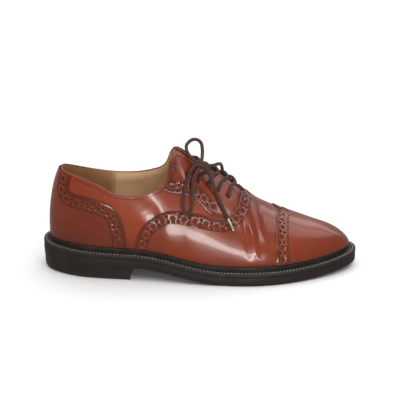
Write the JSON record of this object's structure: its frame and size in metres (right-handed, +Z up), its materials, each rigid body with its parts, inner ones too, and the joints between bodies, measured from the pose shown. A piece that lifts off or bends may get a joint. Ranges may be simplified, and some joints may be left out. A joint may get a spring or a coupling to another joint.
{
  "type": "brogue shoe",
  "caption": "Right brogued oxford shoe: hollow leather upper with counter, winged vamp, facings and toe cap on a welted rubber sole, laced in a bow.",
  "frame": {"origin": "centre of the heel's flat bottom, on the floor", "axes": "+X towards the toe, +Y towards the medial side, +Z up"},
  "size_m": [0.301, 0.1037, 0.1249],
  "materials": {
    "heel": "satin",
    "outsole": "satin",
    "insole": "matte",
    "welt": "satin",
    "upper": "polished",
    "heel_counter": "polished",
    "vamp": "polished",
    "toe_cap": "polished",
    "facing_lateral": "polished",
    "facing_medial": "polished",
    "tongue": "satin",
    "lace_bar_1": "matte",
    "lace_bar_2": "matte",
    "lace_bar_3": "matte",
    "lace_bar_4": "matte",
    "lace_bar_5": "matte",
    "lace_knot": "matte",
    "lace_loop_lateral": "matte",
    "lace_loop_medial": "matte",
    "lace_end_lateral": "matte",
    "lace_end_medial": "matte",
    "aglet_lateral": "polished",
    "aglet_medial": "polished"
  },
  "bodies": {
    "root": {"heel": "heel", "outsole": "outsole", "insole": "insole", "welt": "welt", "upper": "upper", "heel_counter": "heel_counter", "vamp": "vamp", "toe_cap": "toe_cap", "facing_lateral": "facing_lateral", "facing_medial": "facing_medial", "tongue": "tongue", "lace_bar_1": "lace_bar_1", "lace_bar_2": "lace_bar_2", "lace_bar_3": "lace_bar_3", "lace_bar_4": "lace_bar_4", "lace_bar_5": "lace_bar_5", "lace_knot": "lace_knot", "lace_loop_lateral": "lace_loop_lateral", "lace_loop_medial": "lace_loop_medial", "lace_end_lateral": "lace_end_lateral", "lace_end_medial": "lace_end_medial", "aglet_lateral": "aglet_lateral", "aglet_medial": "aglet_medial"}
  },
  "joints": []
}
